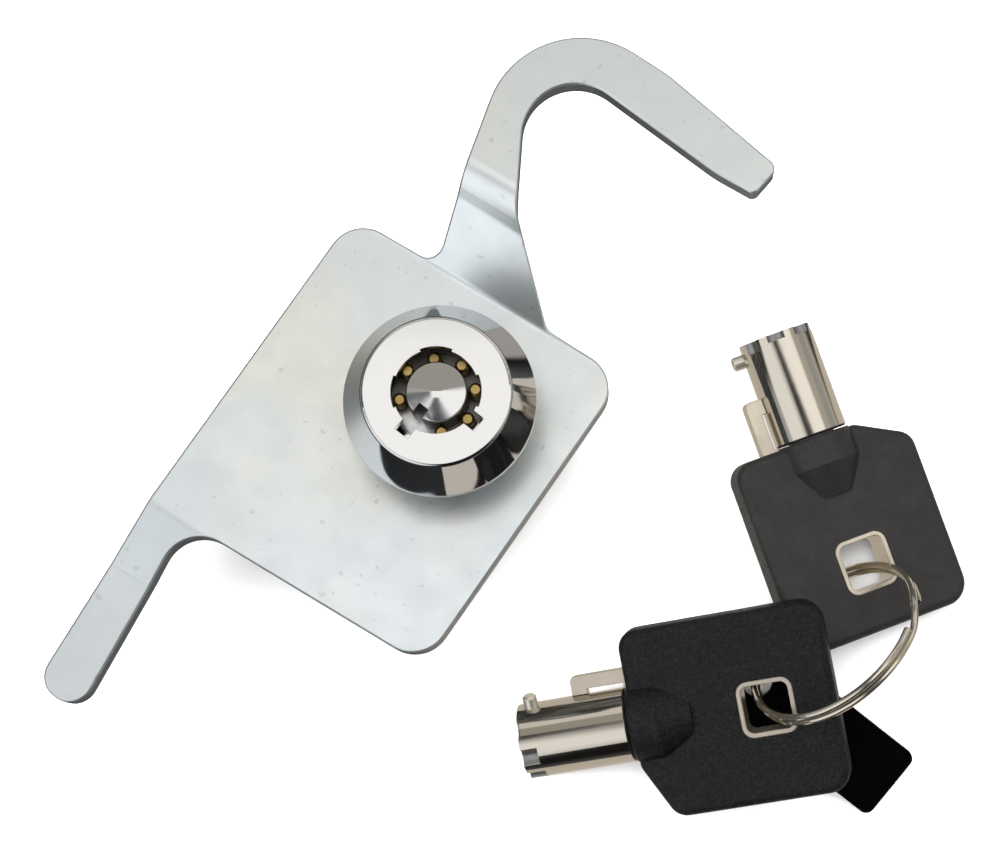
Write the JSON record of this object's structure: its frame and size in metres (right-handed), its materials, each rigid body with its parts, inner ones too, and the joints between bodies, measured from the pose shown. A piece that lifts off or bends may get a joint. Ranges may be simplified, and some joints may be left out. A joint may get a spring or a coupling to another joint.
{
  "type": "motorcycle trunk lock",
  "caption": "Tubular-key lock whose turning plug carries a bent plate with a curved latch hook, lying beside its keys on a split ring with a plain tag.",
  "frame": {"origin": "on the lock's axis, in the plane of the head's underside that seats on the trunk wall", "axes": "+Z out of the lock's face, +Y up and +X to the right as the picture shows the lock, with the key hanging clear of the lock"},
  "size_m": [0.1135, 0.0938, 0.0345],
  "materials": {
    "chrome": "polished",
    "zinc": "satin zinc plate",
    "steel": "satin",
    "nut": "satin zinc plate",
    "spring": "bright wire",
    "brass": "machined",
    "nickel": "polished nickel plate",
    "ring": "polished nickel plate",
    "head": "fine grain",
    "tag": "fine grain",
    "nylon": "moulded"
  },
  "bodies": {
    "housing": {"lock_housing": "chrome", "ring_nut": "nut", "pin_block": "brass", "block_pin": "steel", "pin_spring_1": "spring", "pin_spring_2": "spring", "pin_spring_3": "spring", "pin_spring_4": "spring", "pin_spring_5": "spring", "pin_spring_6": "spring", "pin_spring_7": "spring"},
    "plug": {"lock_plug": "chrome", "stop_washer": "steel", "hook_plate": "zinc", "spindle_washer": "steel", "spindle_nut": "nut", "nut_insert": "nylon"},
    "key_pin_1": {"key_pin_1": "brass"},
    "driver_1": {"driver_pin_1": "brass"},
    "key_pin_2": {"key_pin_2": "brass"},
    "driver_2": {"driver_pin_2": "brass"},
    "key_pin_3": {"key_pin_3": "brass"},
    "driver_3": {"driver_pin_3": "brass"},
    "key_pin_4": {"key_pin_4": "brass"},
    "driver_4": {"driver_pin_4": "brass"},
    "key_pin_5": {"key_pin_5": "brass"},
    "driver_5": {"driver_pin_5": "brass"},
    "key_pin_6": {"key_pin_6": "brass"},
    "driver_6": {"driver_pin_6": "brass"},
    "key_pin_7": {"key_pin_7": "brass"},
    "driver_7": {"driver_pin_7": "brass"},
    "key_a": {"key_a_barrel": "nickel", "key_a_index_pin": "nickel", "key_a_insert": "nickel", "key_a_head": "head"},
    "key_b": {"key_b_barrel": "nickel", "key_b_index_pin": "nickel", "key_b_insert": "nickel", "key_b_head": "head"},
    "ring": {"split_ring": "ring"},
    "tag": {"key_tag": "tag"}
  },
  "joints": [
    {"name": "plug_turn", "type": "hinge", "parent": "housing", "child": "plug", "pos_m": [0, 0, 0], "axis": [0, 0, 1], "range_deg": [0, 90]},
    {"name": "key_pin_1_slide", "type": "slide", "parent": "plug", "child": "key_pin_1", "axis": [0, 0, 1], "range_m": [-0.0016, 0], "stiffness_N_per_m": 20, "springref_m": 0.002},
    {"name": "driver_1_slide", "type": "slide", "parent": "housing", "child": "driver_1", "axis": [0, 0, 1], "range_m": [-0.0016, 0], "stiffness_N_per_m": 20, "springref_m": 0.002, "deforming": ["pin_spring_1"]},
    {"name": "key_pin_2_slide", "type": "slide", "parent": "plug", "child": "key_pin_2", "axis": [0, 0, 1], "range_m": [-0.0016, 0], "stiffness_N_per_m": 20, "springref_m": 0.002},
    {"name": "driver_2_slide", "type": "slide", "parent": "housing", "child": "driver_2", "axis": [0, 0, 1], "range_m": [-0.0016, 0], "stiffness_N_per_m": 20, "springref_m": 0.002, "deforming": ["pin_spring_2"]},
    {"name": "key_pin_3_slide", "type": "slide", "parent": "plug", "child": "key_pin_3", "axis": [0, 0, 1], "range_m": [-0.0016, 0], "stiffness_N_per_m": 20, "springref_m": 0.002},
    {"name": "driver_3_slide", "type": "slide", "parent": "housing", "child": "driver_3", "axis": [0, 0, 1], "range_m": [-0.0016, 0], "stiffness_N_per_m": 20, "springref_m": 0.002, "deforming": ["pin_spring_3"]},
    {"name": "key_pin_4_slide", "type": "slide", "parent": "plug", "child": "key_pin_4", "axis": [0, 0, 1], "range_m": [-0.0016, 0], "stiffness_N_per_m": 20, "springref_m": 0.002},
    {"name": "driver_4_slide", "type": "slide", "parent": "housing", "child": "driver_4", "axis": [0, 0, 1], "range_m": [-0.0016, 0], "stiffness_N_per_m": 20, "springref_m": 0.002, "deforming": ["pin_spring_4"]},
    {"name": "key_pin_5_slide", "type": "slide", "parent": "plug", "child": "key_pin_5", "axis": [0, 0, 1], "range_m": [-0.0016, 0], "stiffness_N_per_m": 20, "springref_m": 0.002},
    {"name": "driver_5_slide", "type": "slide", "parent": "housing", "child": "driver_5", "axis": [0, 0, 1], "range_m": [-0.0016, 0], "stiffness_N_per_m": 20, "springref_m": 0.002, "deforming": ["pin_spring_5"]},
    {"name": "key_pin_6_slide", "type": "slide", "parent": "plug", "child": "key_pin_6", "axis": [0, 0, 1], "range_m": [-0.0016, 0], "stiffness_N_per_m": 20, "springref_m": 0.002},
    {"name": "driver_6_slide", "type": "slide", "parent": "housing", "child": "driver_6", "axis": [0, 0, 1], "range_m": [-0.0016, 0], "stiffness_N_per_m": 20, "springref_m": 0.002, "deforming": ["pin_spring_6"]},
    {"name": "key_pin_7_slide", "type": "slide", "parent": "plug", "child": "key_pin_7", "axis": [0, 0, 1], "range_m": [-0.0016, 0], "stiffness_N_per_m": 20, "springref_m": 0.002},
    {"name": "driver_7_slide", "type": "slide", "parent": "housing", "child": "driver_7", "axis": [0, 0, 1], "range_m": [-0.0016, 0], "stiffness_N_per_m": 20, "springref_m": 0.002, "deforming": ["pin_spring_7"]},
    {"name": "key_set_slide", "type": "slide", "parent": "housing", "child": "key_a", "axis": [0, 0, -1], "range_m": [-0.03, 0]},
    {"name": "ring_turn", "type": "hinge", "parent": "key_a", "child": "ring", "pos_m": [0.0472, -0.02723, -0.01757], "axis": [0.6001, -0.5691, -0.5621], "range_deg": [-20, 0]},
    {"name": "key_b_turn", "type": "hinge", "parent": "ring", "child": "key_b", "pos_m": [0.0472, -0.02723, -0.01757], "axis": [0.6001, -0.5691, -0.5621], "range_deg": [-15, 0]},
    {"name": "tag_swing", "type": "hinge", "parent": "ring", "child": "tag", "pos_m": [0.03781, -0.03138, -0.02339], "axis": [-0.4783, 0.8645, 0.1548], "range_deg": [-15, 0]}
  ],
  "couplings": [
    {"joint": "driver_1_slide", "follows": "key_pin_1_slide", "ratio": 1},
    {"joint": "driver_2_slide", "follows": "key_pin_2_slide", "ratio": 1},
    {"joint": "driver_3_slide", "follows": "key_pin_3_slide", "ratio": 1},
    {"joint": "driver_4_slide", "follows": "key_pin_4_slide", "ratio": 1},
    {"joint": "driver_5_slide", "follows": "key_pin_5_slide", "ratio": 1},
    {"joint": "driver_6_slide", "follows": "key_pin_6_slide", "ratio": 1},
    {"joint": "driver_7_slide", "follows": "key_pin_7_slide", "ratio": 1}
  ]
}
